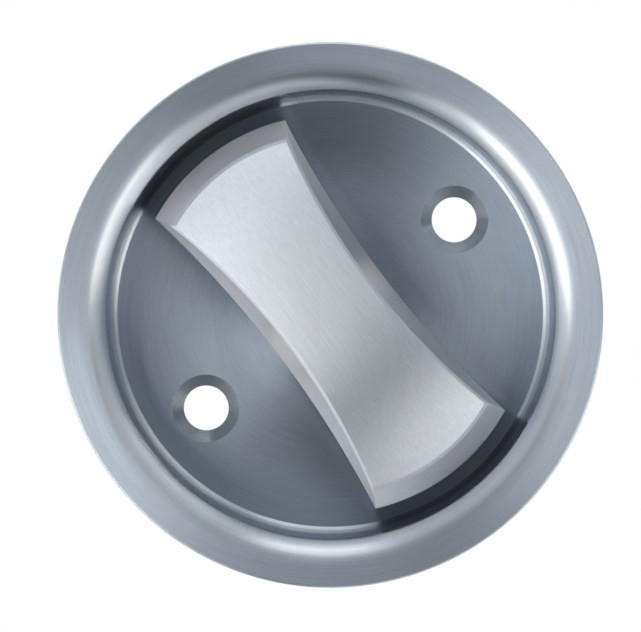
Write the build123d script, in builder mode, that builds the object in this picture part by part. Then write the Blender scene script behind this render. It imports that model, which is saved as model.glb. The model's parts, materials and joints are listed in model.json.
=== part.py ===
"""Flush thumb turn for a sliding door lock.

A round cup is let into the door's face. An hourglass bar in its recess turns a square spindle, which
drives the lock. Lengths are in millimetres and angles in degrees. The part is drawn as it is fitted:
the door's face is the plane Y = 0, the user stands on the -Y side, and +Z is up. The cup's axis is
the Y axis, and a depth is a place on it.
"""

import os
from math import radians, sqrt, tan

from build123d import *

# Flush cup
body_diameter = 57.0
wall_thickness = 1.5
wall_draft = 4.0
recess_depth = 10.0
floor_thickness = 2.5
lip_overhang = 4.0
lip_thickness = 1.5
lip_chamfer = 0.2
shoulder_radius = 3.2
floor_bevel_width = 0.4
floor_bevel_height = 0.25
body_chamfer = 0.6

# Fixing screws
screw_spacing = 38.0
screw_hole_diameter = 5.5
countersink_diameter = 8.2
countersink_angle = 90.0

# Hub behind the floor, with the wall that stops the turn
hub_length = 4.5
hub_chamfer = 0.8
stop_wall_thickness = 2.4
stop_wall_height = 1.5
stop_clearance = 0.15

# Bearing bush
bush_wall = 1.2
flange_width = 0.7
flange_thickness = 1.0
running_clearance = 0.05

# Hourglass bar of the turn
bar_end_width = 19.6
bar_waist_width = 15.8
bar_end_gap = 2.25
bar_edge_chamfer = 0.25
crown_drop = 3.4
crown_setback = 0.8
bevel_depth = 4.8
side_bevel_angle = 21.0
end_bevel_angle = 40.0

# Shank of the turn
shank_diameter = 11.0
flat_depth = 1.0
shank_tail = 6.7
groove_depth = 0.5
groove_play = 0.1
tail_chamfer = 0.5

# Stop washer
washer_width = 2.0
washer_thickness = 1.2
washer_clearance = 0.3
lug_width = 4.0
key_clearance = 0.05

# Disc spring
spring_thickness = 0.5
spring_rise = 0.5
spring_width = 1.6
spring_clearance = 0.15

# Retaining ring
ring_thickness = 1.0
ring_width = 2.0
ring_gap = 2.4
ear_diameter = 3.0
ear_hole_diameter = 1.3

# Square spindle and its grub screw
spindle_width = 6.0
spindle_engagement = 13.0
spindle_reach = 18.0
spindle_chamfer = 0.6
grub_diameter = 4.0
grub_setback = 0.3
grub_socket_width = 2.0
grub_socket_depth = 1.2

# Places along the axis, from the user's side into the door
lip_front = -lip_thickness
floor_front = lip_front + recess_depth
floor_back = floor_front + floor_thickness
hub_back = floor_back + hub_length
bar_crest = lip_front + crown_setback
bevel_foot = bar_crest + bevel_depth
bar_back = floor_front - flange_thickness
washer_back = hub_back + washer_thickness
ring_front = washer_back + spring_rise + spring_thickness
groove_back = ring_front + ring_thickness + groove_play
shank_end = groove_back + shank_tail
grub_depth = (groove_back + shank_end) / 2
spindle_front = shank_end - spindle_engagement
spindle_end = shank_end + spindle_reach

# Radii about the axis
body_radius = body_diameter / 2
rim_radius = body_radius + lip_overhang
mouth_radius = body_radius - wall_thickness
floor_radius = mouth_radius - recess_depth * tan(radians(wall_draft))
floor_bevel_radius = floor_radius + floor_bevel_height * tan(radians(wall_draft))
shank_radius = shank_diameter / 2
groove_radius = shank_radius - groove_depth
bush_bore_radius = shank_radius + running_clearance
bush_radius = bush_bore_radius + bush_wall
flange_radius = bush_radius + flange_width
washer_radius = shank_radius + washer_width
stop_wall_radius = washer_radius + washer_clearance
hub_radius = stop_wall_radius + stop_wall_thickness
bar_end_radius = floor_radius - bar_end_gap
crown_radius = (bar_end_radius**2 + crown_drop**2) / (2 * crown_drop)

# Width across the shank's flats
shank_flats = shank_diameter - 2 * flat_depth

# Blank of the bar above its walls, from which the crown is cut
blank_height = bevel_depth + crown_drop
blank_top_radius = bar_end_radius - blank_height / tan(radians(end_bevel_angle))


def facing_user(depth):
    """Plane across the axis at a depth, with X to the right and Z up as the user sees them."""
    return Plane(origin=(0, depth, 0), x_dir=(1, 0, 0), z_dir=(0, -1, 0))


def corner(section, radius, depth):
    """The corner of a half section that lies nearest to a radius and a depth."""
    return section.vertices().sort_by_distance((radius, depth, 0))[0]


os.makedirs("parts", exist_ok=True)

# Cup: one half section turned about the axis, then the stop wall and the screw holes
with BuildPart() as flush_cup:
    with BuildSketch(Plane.XY) as cup_section:
        with BuildLine():
            Polyline(
                (bush_radius, floor_front),
                (floor_radius - floor_bevel_width, floor_front),
                (floor_bevel_radius, floor_front - floor_bevel_height),
                (mouth_radius, lip_front),
                (rim_radius, lip_front),
                (rim_radius, 0),
                (body_radius, 0),
                (body_radius, floor_back),
                (hub_radius, floor_back),
                (hub_radius, hub_back),
                (bush_radius, hub_back),
                close=True,
            )
        make_face()
        fillet(corner(cup_section, mouth_radius, lip_front), shoulder_radius)
        chamfer(corner(cup_section, rim_radius, lip_front), lip_chamfer)
        chamfer(corner(cup_section, hub_radius, floor_back), hub_chamfer)
        chamfer(corner(cup_section, body_radius, floor_back), body_chamfer)
    revolve(axis=Axis.Y)

    # The lug travels the quarter between straight up and straight right, so the wall is open there
    opening_side = lug_width / 2 + stop_clearance
    with BuildSketch(facing_user(hub_back)):
        Circle(hub_radius)
        Circle(stop_wall_radius, mode=Mode.SUBTRACT)
        with Locations((-opening_side, -opening_side)):
            Rectangle(
                hub_radius + opening_side,
                hub_radius + opening_side,
                align=(Align.MIN, Align.MIN),
                mode=Mode.SUBTRACT,
            )
    extrude(amount=-stop_wall_height)

    with Locations(facing_user(floor_front)):
        with PolarLocations(screw_spacing / 2, 2):
            CounterSinkHole(
                screw_hole_diameter / 2,
                countersink_diameter / 2,
                depth=floor_thickness,
                counter_sink_angle=countersink_angle,
            )

flush_cup.part.label = "flush_cup"
export_step(flush_cup.part, "parts/flush_cup.step")

# Bush: pressed into the hub, with its flange between the floor and the bar
with BuildPart() as bearing_bush:
    with BuildSketch(Plane.XY):
        with BuildLine():
            Polyline(
                (bush_bore_radius, bar_back),
                (flange_radius, bar_back),
                (flange_radius, floor_front),
                (bush_radius, floor_front),
                (bush_radius, hub_back),
                (bush_bore_radius, hub_back),
                close=True,
            )
        make_face()
    revolve(axis=Axis.Y)

bearing_bush.part.label = "bearing_bush"
export_step(bearing_bush.part, "parts/bearing_bush.step")

# Outline of the bar, upright, with drawn-in sides and its ends on a circle about the axis
half_end = bar_end_width / 2
half_waist = bar_waist_width / 2
half_height = sqrt(bar_end_radius**2 - half_end**2)

with BuildSketch() as hourglass:
    with BuildLine():
        side = ThreePointArc((half_end, half_height), (half_waist, 0), (half_end, -half_height))
        mirror(side, about=Plane.YZ)
        end = ThreePointArc((-half_end, half_height), (0, bar_end_radius), (half_end, half_height))
        mirror(end, about=Plane.XZ)
    make_face()

# Turn: the bar in the recess with bevelled sides, conical ends and a crowned top, and its shank
with BuildPart() as thumb_turn:
    with BuildSketch(facing_user(bevel_foot)):
        add(hourglass.sketch)
    extrude(amount=blank_height, taper=side_bevel_angle)
    with Locations(facing_user(bevel_foot)):
        Cone(
            bar_end_radius,
            blank_top_radius,
            blank_height,
            align=(Align.CENTER, Align.CENTER, Align.MIN),
            mode=Mode.INTERSECT,
        )
    with Locations((0, bar_crest + crown_radius, 0)):
        Sphere(crown_radius, mode=Mode.INTERSECT)
    with BuildSketch(facing_user(bar_back)):
        add(hourglass.sketch)
    extrude(amount=bar_back - bevel_foot)
    crown = thumb_turn.faces().sort_by(Axis.Y)[0]
    chamfer(crown.edges(), bar_edge_chamfer)

    with BuildSketch(facing_user(bar_back)):
        Circle(shank_radius)
    extrude(amount=bar_back - hub_back)
    with BuildSketch(facing_user(hub_back)):
        Circle(shank_radius)
        Rectangle(shank_diameter, shank_flats, mode=Mode.INTERSECT)
    extrude(amount=hub_back - shank_end)
    chamfer(thumb_turn.faces().sort_by(Axis.Y)[-1].edges(), tail_chamfer)
    with BuildSketch(facing_user(ring_front)):
        Circle(shank_radius)
        Circle(groove_radius, mode=Mode.SUBTRACT)
    extrude(amount=ring_front - groove_back, mode=Mode.SUBTRACT)
    with BuildSketch(facing_user(shank_end)):
        Rectangle(spindle_width, spindle_width)
    extrude(amount=spindle_engagement, mode=Mode.SUBTRACT)
    with BuildSketch(Plane(origin=(0, grub_depth, 0), z_dir=(1, 0, 0))):
        Circle(grub_diameter / 2)
    extrude(amount=shank_radius, mode=Mode.SUBTRACT)

thumb_turn.part.label = "thumb_turn"
export_step(thumb_turn.part, "parts/thumb_turn.step")

# Stop washer: turns with the shank's flats, its lug between the ends of the stop wall
with BuildPart() as stop_washer:
    with BuildSketch(facing_user(hub_back)):
        Circle(washer_radius)
        Rectangle(lug_width, hub_radius, align=(Align.CENTER, Align.MIN))
    extrude(amount=-washer_thickness)
    with BuildSketch(facing_user(hub_back)):
        Circle(shank_radius + key_clearance)
        Rectangle(shank_diameter + 2 * key_clearance, shank_flats + 2 * key_clearance, mode=Mode.INTERSECT)
    extrude(amount=-washer_thickness, mode=Mode.SUBTRACT)

stop_washer.part.label = "stop_washer"
export_step(stop_washer.part, "parts/stop_washer.step")

# Disc spring: its outer edge bears on the washer and its inner edge on the ring
spring_inner_radius = shank_radius + spring_clearance
spring_outer_radius = spring_inner_radius + spring_width

with BuildPart() as disc_spring:
    with BuildSketch(Plane.XY):
        with BuildLine():
            Polyline(
                (spring_outer_radius, washer_back),
                (spring_outer_radius, washer_back + spring_thickness),
                (spring_inner_radius, ring_front),
                (spring_inner_radius, ring_front - spring_thickness),
                close=True,
            )
        make_face()
    revolve(axis=Axis.Y)

disc_spring.part.label = "disc_spring"
export_step(disc_spring.part, "parts/disc_spring.step")

# Retaining ring: open at the bottom, with an ear each side of the gap
ring_radius = groove_radius + ring_width
ear_side = (ring_gap + ear_diameter) / 2
ear_drop = sqrt(ring_radius**2 - ear_side**2)

with BuildPart() as retaining_ring:
    with BuildSketch(facing_user(ring_front)):
        Circle(ring_radius)
        with Locations((-ear_side, -ear_drop), (ear_side, -ear_drop)):
            Circle(ear_diameter / 2)
            Circle(ear_hole_diameter / 2, mode=Mode.SUBTRACT)
        Circle(groove_radius, mode=Mode.SUBTRACT)
        Rectangle(ring_gap, ring_radius + ear_diameter, align=(Align.CENTER, Align.MAX), mode=Mode.SUBTRACT)
    extrude(amount=-ring_thickness)

retaining_ring.part.label = "retaining_ring"
export_step(retaining_ring.part, "parts/retaining_ring.step")

# Spindle: square bar in the shank's socket, with its far end chamfered
with BuildPart() as spindle:
    with BuildSketch(facing_user(spindle_front)):
        Rectangle(spindle_width, spindle_width)
    extrude(amount=spindle_front - spindle_end)
    chamfer(spindle.faces().sort_by(Axis.Y)[-1].edges(), spindle_chamfer)

spindle.part.label = "spindle"
export_step(spindle.part, "parts/spindle.step")

# Grub screw: from the side of the shank onto the spindle's flat
with BuildPart() as grub_screw:
    with BuildSketch(Plane(origin=(spindle_width / 2, grub_depth, 0), z_dir=(1, 0, 0))):
        Circle(grub_diameter / 2)
    extrude(amount=shank_radius - grub_setback - spindle_width / 2)
    with BuildSketch(Plane(origin=(shank_radius - grub_setback, grub_depth, 0), z_dir=(1, 0, 0))):
        RegularPolygon(grub_socket_width / 2, 6, major_radius=False)
    extrude(amount=-grub_socket_depth, mode=Mode.SUBTRACT)

grub_screw.part.label = "grub_screw"
export_step(grub_screw.part, "parts/grub_screw.step")
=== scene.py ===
"""Finish and studio for a flush thumb turn of a sliding door lock, laid out as an add-on."""

import json
import math

import bpy
from bpy.props import FloatProperty, FloatVectorProperty, PointerProperty
from mathutils import Matrix, Vector


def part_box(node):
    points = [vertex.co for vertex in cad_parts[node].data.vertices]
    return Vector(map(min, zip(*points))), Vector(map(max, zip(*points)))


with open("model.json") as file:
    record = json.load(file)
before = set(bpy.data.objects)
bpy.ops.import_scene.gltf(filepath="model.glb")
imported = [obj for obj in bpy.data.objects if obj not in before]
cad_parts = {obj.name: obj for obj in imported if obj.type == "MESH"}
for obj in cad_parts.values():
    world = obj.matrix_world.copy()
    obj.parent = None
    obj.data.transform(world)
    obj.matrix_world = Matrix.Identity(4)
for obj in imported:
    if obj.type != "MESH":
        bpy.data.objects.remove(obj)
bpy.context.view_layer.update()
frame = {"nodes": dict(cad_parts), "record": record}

bl_info = {
    "name": "Flush thumb turn",
    "version": (1, 0, 0),
    "blender": (4, 5, 0),
    "location": "View3D > Sidebar > Flush turn",
    "description": "Finishes a flush thumb turn and sets it in a small studio",
    "category": "Object",
}

CUP_LOW, CUP_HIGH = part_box("flush_cup")
RIM_DIAMETER = CUP_HIGH.x - CUP_LOW.x
RIM_CENTRE = Vector((0.0, CUP_LOW.y, 0.0))
DOOR_SCREWS = next(mount for mount in frame["record"]["mounts"] if mount["name"] == "door_screws")
SCREW_OFFSET = DOOR_SCREWS["dims"]["pcd_mm"] / 2000.0
FLOOR_BACK = DOOR_SCREWS["pos_m"][1]

# The recess's wall lies within this band of its radius, and a countersink ends a hair before the back
WALL_RADIUS = 0.0258
WALL_BAND = 0.0015
HAIR = 0.00005

# Darkest and lightest share of a colour along the brush lines, and how far a line is drawn out
BRUSH_TINT = (0.93, 1.05)
LINE_STRETCH = 40.0

# Part of a full turn that lays a highlight across the brush lines
QUARTER_TURN = 0.25
WHITE = (1.0, 1.0, 1.0, 1.0)

# Size of the picture, and the rim's width and centre in it, in pixels
PHOTO_WIDTH = 641
PHOTO_HEIGHT = 632
RIM_WIDTH_IN_PHOTO = 546
RIM_CENTRE_IN_PHOTO = (330.4, 315.2)
SENSOR_WIDTH = 36.0


class CupFinish(bpy.types.PropertyGroup):
    """Satin steel of the cup, brushed round its axis."""

    # Partly the steel's own colour and partly a painted blue cast: the lip is bluer than the shoulder to
    # stand for the room's bluish light on the flat faces
    colour: FloatVectorProperty(
        name="Colour", description="Reflected colour of the lip",
        subtype="COLOR", size=3, min=0.0, max=1.0, default=(0.557, 0.645, 0.745),
    )
    shoulder_colour: FloatVectorProperty(
        name="Shoulder colour", description="Reflected colour of the shoulder and the walls",
        subtype="COLOR", size=3, min=0.0, max=1.0, default=(0.59, 0.645, 0.70),
    )
    # Painted shade: the floor's colour is darker than the lip's, and bluer than the shoulder's, to stand
    # for the shade and bluish light in the recess
    floor_colour: FloatVectorProperty(
        name="Floor colour", description="Reflected colour of the recess's floor",
        subtype="COLOR", size=3, min=0.0, max=1.0, default=(0.408, 0.492, 0.592),
    )
    back_colour: FloatVectorProperty(
        name="Back colour", description="Reflected colour of the faces that look into the door",
        subtype="COLOR", size=3, min=0.0, max=1.0, default=(0.43, 0.46, 0.495),
    )
    # Painted shade: the countersinks are much darker than the steel around them
    countersink_shade: FloatVectorProperty(
        name="Countersink colour", description="Reflected colour of the countersinks",
        subtype="COLOR", size=3, min=0.0, max=1.0, default=(0.285, 0.325, 0.37),
    )
    lip_roughness: FloatProperty(
        name="Lip roughness", description="Mean roughness of the flat lip",
        subtype="FACTOR", min=0.0, max=1.0, default=0.56,
    )
    floor_roughness: FloatProperty(
        name="Floor roughness", description="Mean roughness of the recess's floor",
        subtype="FACTOR", min=0.0, max=1.0, default=0.56,
    )
    shoulder_roughness: FloatProperty(
        name="Shoulder roughness", description="Mean roughness of the rounded shoulder",
        subtype="FACTOR", min=0.0, max=1.0, default=0.35,
    )
    wall_roughness: FloatProperty(
        name="Wall roughness", description="Mean roughness of the recess's wall",
        subtype="FACTOR", min=0.0, max=1.0, default=0.12,
    )
    brushing: FloatProperty(
        name="Brushing", description="How far the brushing stretches a highlight",
        subtype="FACTOR", min=0.0, max=1.0, default=0.90,
    )
    scratch_spacing: FloatProperty(
        name="Scratch spacing", description="Distance between brush lines",
        unit="LENGTH", min=0.00001, max=0.01, default=0.00018,
    )
    edge_radius: FloatProperty(
        name="Edge radius", description="Softness of the edges",
        unit="LENGTH", min=0.0, max=0.002, default=0.00015,
    )
    countersink_radius: FloatProperty(
        name="Countersink radius", description="Reach of a countersink from its screw's axis",
        unit="LENGTH", min=0.0, max=0.01, default=0.0041,
    )


class TurnFinish(bpy.types.PropertyGroup):
    """Satin steel of the bar, brushed along its length, with its end walls under the bevels painted
    near-black as shade.
    """

    colour: FloatVectorProperty(
        name="Colour", description="Reflected colour of the brushed steel",
        subtype="COLOR", size=3, min=0.0, max=1.0, default=(0.68, 0.75, 0.825),
    )
    # Painted shade: the end walls under the bevels are near-black so that the gaps at the bar's ends look
    # dark
    end_wall_shade: FloatVectorProperty(
        name="End wall colour", description="Colour of the end walls' cast skin",
        subtype="COLOR", size=3, min=0.0, max=1.0, default=(0.02, 0.02, 0.022),
    )
    shank_colour: FloatVectorProperty(
        name="Shank colour", description="Reflected colour of the turned shank behind the floor",
        subtype="COLOR", size=3, min=0.0, max=1.0, default=(0.50, 0.52, 0.545),
    )
    bevel_colour: FloatVectorProperty(
        name="Bevel colour", description="Reflected colour of the ground bevels",
        subtype="COLOR", size=3, min=0.0, max=1.0, default=(0.75, 0.75, 0.755),
    )
    roughness: FloatProperty(
        name="Roughness", description="Mean roughness of the top",
        subtype="FACTOR", min=0.0, max=1.0, default=0.40,
    )
    brush_skew: FloatProperty(
        name="Brush skew", description="Angle between the brush lines and the bar",
        unit="ROTATION", default=math.radians(-6.0),
    )
    edge_roughness: FloatProperty(
        name="Edge roughness", description="Mean roughness of the broken edges",
        subtype="FACTOR", min=0.0, max=1.0, default=0.72,
    )
    # Where the painted shade on the end walls starts, and how rough it is
    shade_start: FloatProperty(
        name="Shade start", description="Distance from the axis at which the cast skin starts",
        unit="LENGTH", min=0.0, max=0.05, default=0.015,
    )
    shade_roughness: FloatProperty(
        name="Shade roughness", description="Roughness of the end walls' cast skin",
        subtype="FACTOR", min=0.0, max=1.0, default=0.80,
    )
    side_roughness: FloatProperty(
        name="Side roughness", description="Mean roughness of the long bevels and walls",
        subtype="FACTOR", min=0.0, max=1.0, default=0.32,
    )
    end_roughness: FloatProperty(
        name="End roughness", description="Mean roughness of the bevels at the ends",
        subtype="FACTOR", min=0.0, max=1.0, default=0.48,
    )
    brushing: FloatProperty(
        name="Brushing", description="How far the brushing stretches a highlight",
        subtype="FACTOR", min=0.0, max=1.0, default=0.90,
    )
    scratch_spacing: FloatProperty(
        name="Scratch spacing", description="Distance between brush lines",
        unit="LENGTH", min=0.00001, max=0.01, default=0.00018,
    )
    edge_radius: FloatProperty(
        name="Edge radius", description="Softness of the edges",
        unit="LENGTH", min=0.0, max=0.002, default=0.00015,
    )
    bevel_foot: FloatProperty(
        name="Bevel foot", description="Depth behind the door's face at which the bevels meet the walls",
        unit="LENGTH", default=0.0041,
    )


class HardwareFinish(bpy.types.PropertyGroup):
    """Finishes of the pieces behind the cup."""

    zinc_colour: FloatVectorProperty(
        name="Zinc", description="Colour of the plated washer and spindle",
        subtype="COLOR", size=3, min=0.0, max=1.0, default=(0.54, 0.56, 0.58),
    )
    spring_colour: FloatVectorProperty(
        name="Spring steel", description="Colour of the disc spring and the ring",
        subtype="COLOR", size=3, min=0.0, max=1.0, default=(0.22, 0.22, 0.235),
    )
    black_colour: FloatVectorProperty(
        name="Black oxide", description="Colour of the grub screw",
        subtype="COLOR", size=3, min=0.0, max=1.0, default=(0.045, 0.045, 0.05),
    )
    plastic_colour: FloatVectorProperty(
        name="Plastic", description="Colour of the bearing bush",
        subtype="COLOR", size=3, min=0.0, max=1.0, default=(0.80, 0.79, 0.75),
    )


class StudioSettings(bpy.types.PropertyGroup):
    """Camera, lamps and floor."""

    camera_distance: FloatProperty(
        name="Camera distance", description="From the camera to the rim",
        unit="LENGTH", min=0.1, max=5.0, default=0.45,
    )
    camera_roll: FloatProperty(
        name="Camera roll", description="Turn of the screw holes' line in the picture",
        unit="ROTATION", default=math.radians(37.2),
    )
    camera_lean: FloatProperty(
        name="Camera lean", description="How far the camera stands off the cup's axis",
        unit="ROTATION", default=math.radians(0.8),
    )
    floor_drop: FloatProperty(
        name="Floor drop", description="From the cup's axis down to the floor",
        unit="LENGTH", min=0.0, max=1.0, default=0.45,
    )
    floor_radius: FloatProperty(
        name="Floor radius", description="Radius of the round floor",
        unit="LENGTH", min=0.05, max=2.0, default=0.40,
    )
    floor_colour: FloatVectorProperty(
        name="Floor", description="Colour of the floor",
        subtype="COLOR", size=3, min=0.0, max=1.0, default=(0.90, 0.90, 0.90),
    )
    room_colour: FloatVectorProperty(
        name="Upper room", description="Tint of the room's light from above",
        subtype="COLOR", size=3, min=0.0, max=2.0, default=(0.97, 1.0, 1.03),
    )
    low_room_colour: FloatVectorProperty(
        name="Lower room", description="Tint of the room's light from below",
        subtype="COLOR", size=3, min=0.0, max=2.0, default=(0.85, 1.0, 1.14),
    )
    lamp_colour: FloatVectorProperty(
        name="Side lamps", description="Tint of the light from the two sides",
        subtype="COLOR", size=3, min=0.0, max=2.0, default=(1.07, 1.0, 0.93),
    )
    cool_lamp_colour: FloatVectorProperty(
        name="Cool lamps", description="Tint of the light from above, from below and from the upper right",
        subtype="COLOR", size=3, min=0.0, max=2.0, default=(1.02, 1.0, 0.98),
    )
    front_level: FloatProperty(
        name="Front level", description="Brightness of the room round the camera",
        min=0.0, max=2.0, default=0.012,
    )
    dim_clock: FloatProperty(
        name="Dim spot", description="Place of the dim spot round the picture",
        unit="ROTATION", default=math.radians(300.0),
    )
    dim_slant: FloatProperty(
        name="Dim spot's slant", description="Angle between the dim spot and the cup's axis",
        unit="ROTATION", default=math.radians(11.0),
    )
    side_level: FloatProperty(
        name="Side level", description="Brightness of the room to the sides",
        min=0.0, max=2.0, default=0.71,
    )
    fill_level: FloatProperty(
        name="Fill level", description="Brightness of the even light from all sides",
        min=0.0, max=2.0, default=0.6,
    )


class FlushTurnSettings(bpy.types.PropertyGroup):
    """Everything that a user would change."""

    cup: PointerProperty(type=CupFinish)
    turn: PointerProperty(type=TurnFinish)
    hardware: PointerProperty(type=HardwareFinish)
    studio: PointerProperty(type=StudioSettings)


def settings():
    """The settings kept on the scene."""
    return bpy.context.scene.flush_turn


class Nodes:
    """A node tree of a material or a world, with short calls to add and join nodes."""

    def __init__(self, owner):
        owner.use_nodes = True
        self.tree = owner.node_tree
        self.tree.nodes.clear()

    def add(self, kind, **values):
        """Add a node and set its options."""
        node = self.tree.nodes.new(kind)
        for key, value in values.items():
            setattr(node, key, value)
        return node

    def join(self, source, target):
        """Join an output to an input."""
        self.tree.links.new(source, target)

    def feed(self, target, value):
        """Set an input to a plain value or join it to an output."""
        if isinstance(value, bpy.types.NodeSocket):
            self.join(value, target)
        else:
            target.default_value = value

    def maths(self, operation, first, second=0.0):
        """One sum on two numbers or outputs."""
        node = self.add("ShaderNodeMath", operation=operation)
        self.feed(node.inputs[0], first)
        self.feed(node.inputs[1], second)
        return node.outputs["Value"]

    def vector(self, operation, first, second=None):
        """The node of one sum on vectors."""
        node = self.add("ShaderNodeVectorMath", operation=operation)
        self.feed(node.inputs[0], first)
        if second is not None:
            self.feed(node.inputs[1], second)
        return node

    def between(self, value, low, high, start=0.3, end=0.7, kind="LINEAR"):
        """Spread a value that runs from start to end between two others."""
        node = self.add("ShaderNodeMapRange", interpolation_type=kind)
        given = {"Value": value, "From Min": start, "From Max": end, "To Min": low, "To Max": high}
        for key, number in given.items():
            self.feed(node.inputs[key], number)
        return node.outputs["Result"]

    def mixed(self, first, second, factor):
        """A number between two, by a factor."""
        node = self.add("ShaderNodeMix")
        self.feed(node.inputs["A"], first)
        self.feed(node.inputs["B"], second)
        self.feed(node.inputs["Factor"], factor)
        return node.outputs["Result"]

    def blended(self, first, second, factor):
        """A colour between two, by a factor."""
        node = self.add("ShaderNodeMix", data_type="RGBA")
        self.feed(node.inputs[6], first)
        self.feed(node.inputs[7], second)
        self.feed(node.inputs["Factor"], factor)
        return node.outputs[2]


class Recipe(Nodes):
    """A material with one main shader."""

    def __init__(self, name):
        self.material = bpy.data.materials.new(name)
        super().__init__(self.material)
        self.shader = self.add("ShaderNodeBsdfPrincipled")
        self.output = self.add("ShaderNodeOutputMaterial")
        self.join(self.shader.outputs["BSDF"], self.output.inputs["Surface"])

    def place(self):
        """The object's own coordinates, in metres."""
        return self.add("ShaderNodeTexCoord").outputs["Object"]

    def noise(self, vector, scale, detail=3.0, roughness=0.55):
        """Noise from 0 to 1 over a vector."""
        node = self.add("ShaderNodeTexNoise")
        self.join(vector, node.inputs["Vector"])
        node.inputs["Scale"].default_value = scale
        node.inputs["Detail"].default_value = detail
        node.inputs["Roughness"].default_value = roughness
        return node.outputs["Fac"]

    def tinted(self, colour, value, low, high):
        """A colour made darker and lighter by a noise."""
        dark = (*(c * low for c in colour), 1.0)
        light = (*(min(c * high, 1.0) for c in colour), 1.0)
        return self.blended(dark, light, self.between(value, 0.0, 1.0))

    def relief(self, height, depth, strength=1.0, edge_radius=0.0):
        """Bump from a height of 0 to 1 over a depth in metres, on edges softened by a radius."""
        node = self.add("ShaderNodeBump")
        if edge_radius > 0.0:
            soft = self.add("ShaderNodeBevel", samples=6)
            soft.inputs["Radius"].default_value = edge_radius
            self.join(soft.outputs["Normal"], node.inputs["Normal"])
        node.inputs["Strength"].default_value = strength
        node.inputs["Distance"].default_value = depth
        self.join(height, node.inputs["Height"])
        self.join(node.outputs["Normal"], self.shader.inputs["Normal"])

    def steel(self, colour, roughness):
        """Set the shader to bare metal."""
        self.shader.inputs["Metallic"].default_value = 1.0
        self.feed(self.shader.inputs["Base Color"], colour)
        self.feed(self.shader.inputs["Roughness"], roughness)


def reach_along(recipe, axis):
    """How far a point lies along an axis of the object, in metres."""
    split = recipe.add("ShaderNodeSeparateXYZ")
    recipe.join(recipe.place(), split.inputs["Vector"])
    return split.outputs[axis]


def facing_along(recipe, axis):
    """1 on a face that looks along an axis of the object, down to -1 on one that looks against it."""
    split = recipe.add("ShaderNodeSeparateXYZ")
    recipe.join(recipe.add("ShaderNodeTexCoord").outputs["Normal"], split.inputs["Vector"])
    return split.outputs[axis]


def squareness(recipe, axis="Y"):
    """1 on a face square to an axis, down to 0 on one that stands along it."""
    return recipe.maths("ABSOLUTE", facing_along(recipe, axis))


def turned_about(recipe):
    """Offset from the axis that a point was turned on, its depth, and 1 in a countersink or else 0."""
    split = recipe.add("ShaderNodeSeparateXYZ")
    recipe.join(recipe.place(), split.inputs["Vector"])
    screw = recipe.maths("MULTIPLY", recipe.maths("SIGN", split.outputs["X"]), SCREW_OFFSET)
    beside = recipe.maths("SUBTRACT", split.outputs["X"], screw)
    squares = (recipe.maths("POWER", beside, 2.0), recipe.maths("POWER", split.outputs["Z"], 2.0))
    reach = recipe.maths("SQRT", recipe.maths("ADD", *squares))
    near = recipe.maths("LESS_THAN", reach, settings().cup.countersink_radius)
    before_back = recipe.maths("LESS_THAN", split.outputs["Y"], FLOOR_BACK - HAIR)
    sink = recipe.maths("MULTIPLY", near, before_back)
    offset = recipe.add("ShaderNodeCombineXYZ")
    recipe.join(recipe.mixed(split.outputs["X"], beside, sink), offset.inputs["X"])
    recipe.join(split.outputs["Z"], offset.inputs["Z"])
    return offset.outputs["Vector"], split.outputs["Y"], sink


def brush_lines(recipe, offset, depth, spacing, length):
    """Noise drawn out into lines round the axis."""
    radius = recipe.vector("LENGTH", offset).outputs["Value"]
    spoke = recipe.vector("NORMALIZE", offset).outputs["Vector"]
    along = recipe.vector("SCALE", spoke)
    along.inputs["Scale"].default_value = 1.0 / length
    rise = recipe.add("ShaderNodeCombineXYZ")
    along_section = recipe.maths("SUBTRACT", radius, depth)
    recipe.join(recipe.maths("DIVIDE", along_section, spacing), rise.inputs["Y"])
    vector = recipe.vector("ADD", along.outputs["Vector"], rise.outputs["Vector"])
    return recipe.noise(vector.outputs["Vector"], scale=1.0, detail=2.0)


def brush_along(recipe, direction):
    """Brush the steel along a direction of the object, which stretches a highlight across it."""
    turn = recipe.add("ShaderNodeVectorTransform", convert_from="OBJECT", convert_to="WORLD")
    turn.vector_type = "VECTOR"
    recipe.feed(turn.inputs["Vector"], direction)
    recipe.join(turn.outputs["Vector"], recipe.shader.inputs["Tangent"])
    recipe.shader.inputs["Anisotropic Rotation"].default_value = QUARTER_TURN


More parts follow.
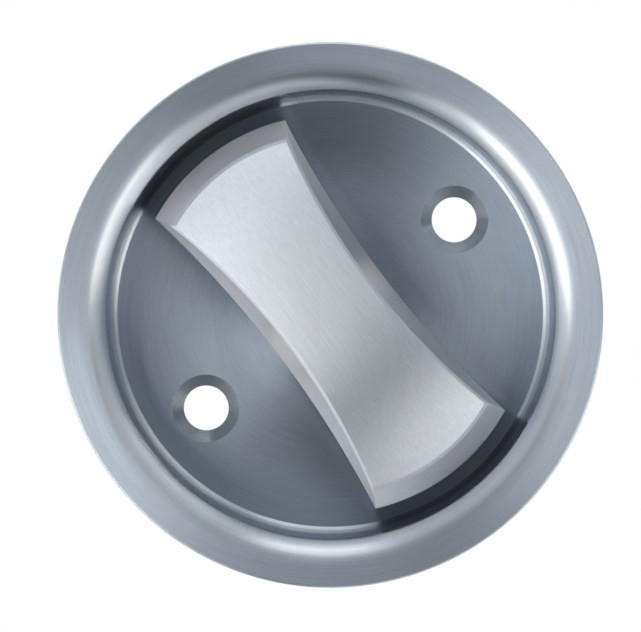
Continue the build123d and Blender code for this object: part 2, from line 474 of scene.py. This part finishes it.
def cup_steel():
    """Satin steel with brush lines round the axis and round each countersink's own axis, with painted
    shade darkening the recess's floor and the countersinks.
    """
    finish = settings().cup
    recipe = Recipe("cup_steel")
    offset, depth, sink = turned_about(recipe)
    fine = brush_lines(recipe, offset, depth, spacing=finish.scratch_spacing, length=0.25)
    broad = brush_lines(recipe, offset, depth, spacing=9.0 * finish.scratch_spacing, length=0.8)
    square = squareness(recipe)
    flat = recipe.between(square, 0.0, 1.0, start=0.90, end=0.985)
    deep = recipe.between(depth, 0.0, 1.0, start=0.001, end=0.006)
    floor = recipe.maths("MULTIPLY", flat, deep)
    inward = recipe.between(facing_along(recipe, "Y"), 0.0, 1.0, start=0.3, end=0.7)
    colour = recipe.tinted(finish.shoulder_colour, fine, *BRUSH_TINT)
    # The lip's colour carries a painted blue cast of the room's light, and the floor's darker colour is
    # painted shade of the recess
    for own_colour, share in (
        (finish.colour, flat), (finish.floor_colour, floor), (finish.back_colour, inward),
    ):
        colour = recipe.blended(colour, recipe.tinted(own_colour, fine, *BRUSH_TINT), share)
    # Painted shade: the countersinks are made much darker than the steel around them
    colour = recipe.blended(colour, recipe.tinted(finish.countersink_shade, fine, 0.85, 1.1), sink)
    flats = recipe.mixed(finish.lip_roughness, finish.floor_roughness, deep)
    radius = recipe.vector("LENGTH", offset).outputs["Value"]
    off_wall = recipe.maths("ABSOLUTE", recipe.maths("SUBTRACT", radius, WALL_RADIUS))
    at_wall = recipe.maths("LESS_THAN", off_wall, WALL_BAND)
    wall = recipe.mixed(finish.shoulder_roughness, finish.wall_roughness, at_wall)
    steep = recipe.between(square, 1.0, 0.0, start=0.15, end=0.45)
    leaning = recipe.mixed(finish.shoulder_roughness, wall, steep)
    mean = recipe.mixed(leaning, flats, flat)
    recipe.steel(colour, recipe.maths("ADD", mean, recipe.between(broad, -0.03, 0.03)))
    recipe.relief(fine, depth=0.000006, strength=0.6, edge_radius=finish.edge_radius)
    brush_along(recipe, recipe.vector("CROSS_PRODUCT", (0.0, 1.0, 0.0), offset).outputs["Vector"])
    recipe.shader.inputs["Anisotropic"].default_value = finish.brushing
    return recipe.material


def turn_steel():
    """Satin steel with brush lines along the bar, and painted shade on the walls of its ends: a dull,
    near-black, non-metallic surface.
    """
    finish = settings().turn
    recipe = Recipe("turn_steel")
    stretch = recipe.add("ShaderNodeMapping")
    recipe.join(recipe.place(), stretch.inputs["Vector"])
    fast = 1.0 / finish.scratch_spacing
    stretch.inputs["Scale"].default_value = (fast, fast, fast / LINE_STRETCH)
    fine = recipe.noise(stretch.outputs["Vector"], scale=1.0, detail=2.0)
    cloud = recipe.noise(recipe.place(), scale=260.0, detail=3.0)
    square = squareness(recipe)
    depth = reach_along(recipe, "Y")
    foot = finish.bevel_foot
    # Mask of the painted shade: end walls below the bevel foot and far from the axis
    below = recipe.between(depth, 0.0, 1.0, start=foot - 0.0001, end=foot + 0.0002)
    off_axis = recipe.maths("ABSOLUTE", reach_along(recipe, "Z"))
    outer = recipe.maths("GREATER_THAN", off_axis, finish.shade_start)
    endwise = recipe.between(squareness(recipe, "Z"), 0.0, 1.0, start=0.5, end=0.7)
    shade = recipe.maths("MULTIPLY", below, recipe.maths("MULTIPLY", outer, endwise))
    top = recipe.between(square, 0.0, 1.0, start=0.91, end=0.94)
    above = recipe.between(square, 0.0, 1.0, start=0.770, end=0.785)
    edge = recipe.maths("SUBTRACT", above, top)
    shank = recipe.between(depth, 0.0, 1.0, start=FLOOR_BACK - 0.001, end=FLOOR_BACK)
    colour = recipe.tinted(finish.bevel_colour, fine, 0.96, 1.04)
    colour = recipe.blended(colour, recipe.tinted(finish.colour, fine, 0.94, 1.05), above)
    colour = recipe.blended(colour, recipe.tinted(finish.shank_colour, cloud, 0.95, 1.04), shank)
    # Painted shade on the end walls
    colour = recipe.blended(colour, recipe.tinted(finish.end_wall_shade, cloud, 0.85, 1.15), shade)
    sides = recipe.between(square, finish.side_roughness, finish.end_roughness, start=0.45, end=0.75)
    mean = recipe.mixed(recipe.mixed(sides, finish.roughness, top), finish.edge_roughness, edge)
    mean = recipe.mixed(mean, finish.shade_roughness, shade)
    recipe.steel(colour, recipe.maths("ADD", mean, recipe.between(cloud, -0.008, 0.008)))
    # The painted shade on the end walls is non-metallic
    recipe.join(recipe.between(shade, 1.0, 0.0, start=0.0, end=1.0), recipe.shader.inputs["Metallic"])
    recipe.relief(fine, depth=0.000004, strength=0.5, edge_radius=finish.edge_radius)
    brush_along(recipe, (math.sin(finish.brush_skew), 0.0, math.cos(finish.brush_skew)))
    recipe.shader.inputs["Anisotropic"].default_value = finish.brushing
    return recipe.material


def plated_steel(name, colour, roughness, grain_size):
    """Plated or treated steel with cloudy patches and a fine grain."""
    recipe = Recipe(name)
    cloud = recipe.noise(recipe.place(), scale=420.0, detail=4.0)
    grain = recipe.noise(recipe.place(), scale=1.0 / grain_size, detail=2.0)
    patchy = recipe.between(cloud, roughness - 0.04, roughness + 0.04)
    recipe.steel(recipe.tinted(colour, cloud, 0.95, 1.04), patchy)
    recipe.relief(grain, depth=0.000004, strength=0.3)
    return recipe.material


def bush_plastic():
    """Moulded plastic with a faint grain."""
    recipe = Recipe("bush_plastic")
    grain = recipe.noise(recipe.place(), scale=5000.0, detail=2.0)
    colour = recipe.tinted(settings().hardware.plastic_colour, grain, 0.96, 1.02)
    recipe.join(colour, recipe.shader.inputs["Base Color"])
    recipe.join(recipe.between(grain, 0.45, 0.6), recipe.shader.inputs["Roughness"])
    recipe.relief(grain, depth=0.00001, strength=0.4)
    return recipe.material


def dress(node, material):
    """Give a node's object one material."""
    slots = frame["nodes"][node].data.materials
    slots.clear()
    slots.append(material)


def picture_axes():
    """Right, up and towards the camera in the picture, as directions in the frame."""
    roll = settings().studio.camera_roll
    right = Vector((math.cos(roll), 0.0, -math.sin(roll)))
    up = Vector((math.sin(roll), 0.0, math.cos(roll)))
    return right, up, right.cross(up)


def seen_from(clock, slant, distance):
    """A point at a distance from the rim: clock turns round the picture, slant leans from its axis."""
    right, up, near = picture_axes()
    side = right * math.cos(clock) + up * math.sin(clock)
    return RIM_CENTRE + (side * math.sin(slant) + near * math.cos(slant)) * distance


def stood_at(place, right, up, back):
    """The matrix of a thing at a place, with its own three axes."""
    return Matrix.Translation(place) @ Matrix((right, up, back)).transposed().to_4x4()


def add_softbox(name, colour, clock_deg, slant_deg, distance, width, length, radiance):
    """A lamp that looks at the rim's centre, its width round the picture and its length across it."""
    data = bpy.data.lights.new(name, "AREA")
    data.shape = "RECTANGLE"
    data.size = width
    data.size_y = length
    data.energy = radiance * math.pi * width * length
    data.color = colour
    lamp = bpy.data.objects.new(name, data)
    right, up, _ = picture_axes()
    clock = math.radians(clock_deg)
    place = seen_from(clock, math.radians(slant_deg), distance)
    back = (place - RIM_CENTRE).normalized()
    round_picture = up * math.cos(clock) - right * math.sin(clock)
    across = back.cross(round_picture)
    lamp.matrix_world = stood_at(place, round_picture, across, back)
    lamp.visible_camera = False
    bpy.context.scene.collection.objects.link(lamp)


def add_camera():
    """A camera close to the cup's axis, rolled as in the picture."""
    studio = settings().studio
    frame_width = RIM_DIAMETER * PHOTO_WIDTH / RIM_WIDTH_IN_PHOTO
    pixel = frame_width / PHOTO_WIDTH
    right, up, near = picture_axes()
    shift_right = (RIM_CENTRE_IN_PHOTO[0] - PHOTO_WIDTH / 2) * pixel
    shift_up = (PHOTO_HEIGHT / 2 - RIM_CENTRE_IN_PHOTO[1]) * pixel
    data = bpy.data.cameras.new("camera")
    data.sensor_width = SENSOR_WIDTH
    data.lens = SENSOR_WIDTH * studio.camera_distance / frame_width
    data.clip_start = 0.01
    camera = bpy.data.objects.new("camera", data)
    lean = Matrix.Rotation(-studio.camera_lean, 3, right)
    up, near = lean @ up, lean @ near
    aim = RIM_CENTRE - right * shift_right - up * shift_up
    camera.matrix_world = stood_at(aim + near * studio.camera_distance, right, up, near)
    bpy.context.scene.collection.objects.link(camera)
    bpy.context.scene.camera = camera


def add_floor():
    """A round pale floor that fades to white at its edge."""
    studio = settings().studio
    rings, sides = 12, 96
    points = [(0.0, 0.0, 0.0)]
    for ring in range(1, rings + 1):
        for side in range(sides):
            angle = 2.0 * math.pi * side / sides
            reach = studio.floor_radius * ring / rings
            points.append((reach * math.cos(angle), reach * math.sin(angle), 0.0))
    faces = [(0, 1 + side, 1 + (side + 1) % sides) for side in range(sides)]
    for ring in range(rings - 1):
        inner, outer = 1 + ring * sides, 1 + (ring + 1) * sides
        for side in range(sides):
            after = (side + 1) % sides
            faces.append((inner + side, outer + side, outer + after, inner + after))
    mesh = bpy.data.meshes.new("floor")
    mesh.from_pydata(points, [], faces)
    floor = bpy.data.objects.new("floor", mesh)
    floor.location.z = -studio.floor_drop
    bpy.context.scene.collection.objects.link(floor)
    floor.data.materials.append(floor_paint())


def floor_paint():
    """Pale paint that is plain white to the camera and the steel towards the floor's edge."""
    studio = settings().studio
    recipe = Recipe("floor_paint")
    recipe.feed(recipe.shader.inputs["Base Color"], (*studio.floor_colour, 1.0))
    recipe.shader.inputs["Roughness"].default_value = 0.9
    reach = recipe.vector("LENGTH", recipe.place()).outputs["Value"]
    radius = studio.floor_radius
    edge = recipe.between(reach, 0.0, 1.0, start=0.3 * radius, end=0.95 * radius)
    ray = recipe.add("ShaderNodeLightPath")
    seen = recipe.maths("MAXIMUM", ray.outputs["Is Camera Ray"], ray.outputs["Is Glossy Ray"])
    seen = recipe.maths("MAXIMUM", seen, ray.outputs["Is Transmission Ray"])
    white = recipe.add("ShaderNodeEmission")
    blend = recipe.add("ShaderNodeMixShader")
    recipe.join(recipe.maths("MULTIPLY", edge, seen), blend.inputs["Fac"])
    recipe.join(recipe.shader.outputs["BSDF"], blend.inputs[1])
    recipe.join(white.outputs["Emission"], blend.inputs[2])
    recipe.join(blend.outputs["Shader"], recipe.output.inputs["Surface"])
    return recipe.material


def light_room():
    """White behind the part, also in the steel, a lit room to its sides and a dim one round the camera."""
    studio = settings().studio
    world = bpy.data.worlds.new("room")
    room = Nodes(world)

    def along(axis):
        return room.vector("DOT_PRODUCT", direction, axis).outputs["Value"]

    def ramp(value, low, high, start, end):
        return room.between(value, low, high, start, end, kind="SMOOTHSTEP")

    direction = room.add("ShaderNodeTexCoord").outputs["Generated"]
    inward = along((0.0, 1.0, 0.0))
    downward = along(-picture_axes()[1])
    spot = seen_from(studio.dim_clock, studio.dim_slant, 1.0) - RIM_CENTRE
    side = ramp(downward, studio.side_level, 0.3 * studio.side_level, start=-0.2, end=0.85)
    front = ramp(along(spot.normalized()), side, studio.front_level, start=0.45, end=0.90)
    behind = ramp(inward, 0.0, 1.0, start=-0.10, end=0.40)
    ray = room.add("ShaderNodeLightPath")
    glossy = ray.outputs["Is Glossy Ray"]
    mirrored = room.maths("MULTIPLY", glossy, behind)
    seen = room.maths("MAXIMUM", ray.outputs["Is Camera Ray"], ray.outputs["Is Transmission Ray"])
    seen = room.maths("MAXIMUM", seen, mirrored)
    level = room.mixed(room.mixed(studio.fill_level, front, glossy), 1.0, seen)
    upper, lower = (*studio.room_colour, 1.0), (*studio.low_room_colour, 1.0)
    air = room.blended(upper, lower, ramp(downward, 0.0, 1.0, start=-0.4, end=0.5))
    tint = room.blended(WHITE, air, room.maths("SUBTRACT", glossy, mirrored))
    background = room.add("ShaderNodeBackground")
    room.join(tint, background.inputs["Color"])
    room.join(level, background.inputs["Strength"])
    output = room.add("ShaderNodeOutputWorld")
    room.join(background.outputs["Background"], output.inputs["Surface"])
    bpy.context.scene.world = world


class FLUSHTURN_OT_finish_cup(bpy.types.Operator):
    """Give the flush cup its brushed steel"""

    bl_idname = "flush_turn.finish_cup"
    bl_label = "Finish the flush cup"

    def execute(self, context):
        dress("flush_cup", cup_steel())
        return {"FINISHED"}


class FLUSHTURN_OT_finish_turn(bpy.types.Operator):
    """Give the thumb turn its satin steel"""

    bl_idname = "flush_turn.finish_turn"
    bl_label = "Finish the thumb turn"

    def execute(self, context):
        dress("thumb_turn", turn_steel())
        return {"FINISHED"}


class FLUSHTURN_OT_finish_bush(bpy.types.Operator):
    """Give the bearing bush its moulded plastic"""

    bl_idname = "flush_turn.finish_bush"
    bl_label = "Finish the bearing bush"

    def execute(self, context):
        dress("bearing_bush", bush_plastic())
        return {"FINISHED"}


class FLUSHTURN_OT_finish_hardware(bpy.types.Operator):
    """Give the washer, spring, ring, spindle and grub screw their plated steels"""

    bl_idname = "flush_turn.finish_hardware"
    bl_label = "Finish the hardware behind the cup"

    def execute(self, context):
        finish = settings().hardware
        zinc = plated_steel("zinc_plate", finish.zinc_colour, roughness=0.36, grain_size=0.00025)
        dark = plated_steel("spring_steel", finish.spring_colour, roughness=0.42, grain_size=0.00015)
        black = plated_steel("black_oxide", finish.black_colour, roughness=0.45, grain_size=0.00012)
        for node, material in (
            ("stop_washer", zinc), ("spindle", zinc), ("disc_spring", dark),
            ("retaining_ring", dark), ("grub_screw", black),
        ):
            dress(node, material)
        return {"FINISHED"}


class FLUSHTURN_OT_set_stage(bpy.types.Operator):
    """Add the floor, the lamps, the room and the camera"""

    bl_idname = "flush_turn.set_stage"
    bl_label = "Set the stage"

    def execute(self, context):
        context.scene.view_settings.view_transform = "Standard"
        add_floor()
        light_room()
        warm, cool = settings().studio.lamp_colour, settings().studio.cool_lamp_colour
        add_softbox(
            "left_softbox", warm, clock_deg=207.5, slant_deg=48.0, distance=0.50,
            width=0.35, length=0.46, radiance=3.0,
        )
        add_softbox(
            "right_softbox", warm, clock_deg=335.0, slant_deg=46.0, distance=0.30,
            width=0.16, length=0.23, radiance=2.1,
        )
        add_softbox(
            "low_strip", cool, clock_deg=238.0, slant_deg=66.0, distance=0.50,
            width=0.22, length=0.22, radiance=1.3,
        )
        add_softbox(
            "right_high_softbox", cool, clock_deg=37.0, slant_deg=36.0, distance=0.50,
            width=0.25, length=0.22, radiance=0.48,
        )
        add_softbox(
            "top_softbox", cool, clock_deg=87.0, slant_deg=58.0, distance=0.50,
            width=0.24, length=0.30, radiance=1.8,
        )
        add_camera()
        return {"FINISHED"}


class FLUSHTURN_PT_panel(bpy.types.Panel):
    """Lists the steps and their settings"""

    bl_idname = "FLUSHTURN_PT_panel"
    bl_label = "Flush turn"
    bl_space_type = "VIEW_3D"
    bl_region_type = "UI"
    bl_category = "Flush turn"

    def draw(self, context):
        for step in STEPS:
            self.layout.operator(step.bl_idname)
        for group in ("cup", "turn", "hardware", "studio"):
            box = self.layout.box()
            values = getattr(context.scene.flush_turn, group)
            for key in values.__annotations__:
                box.prop(values, key)


STEPS = (
    FLUSHTURN_OT_finish_cup,
    FLUSHTURN_OT_finish_turn,
    FLUSHTURN_OT_finish_bush,
    FLUSHTURN_OT_finish_hardware,
    FLUSHTURN_OT_set_stage,
)
GROUPS = (CupFinish, TurnFinish, HardwareFinish, StudioSettings, FlushTurnSettings)
CLASSES = (*GROUPS, *STEPS, FLUSHTURN_PT_panel)


def register():
    for item in CLASSES:
        bpy.utils.register_class(item)
    bpy.types.Scene.flush_turn = PointerProperty(type=FlushTurnSettings)


def unregister():
    del bpy.types.Scene.flush_turn
    for item in reversed(CLASSES):
        bpy.utils.unregister_class(item)


def main():
    register()
    bpy.ops.flush_turn.finish_cup()
    bpy.ops.flush_turn.finish_turn()
    bpy.ops.flush_turn.finish_bush()
    bpy.ops.flush_turn.finish_hardware()
    bpy.ops.flush_turn.set_stage()


if __name__ == "__main__":
    main()
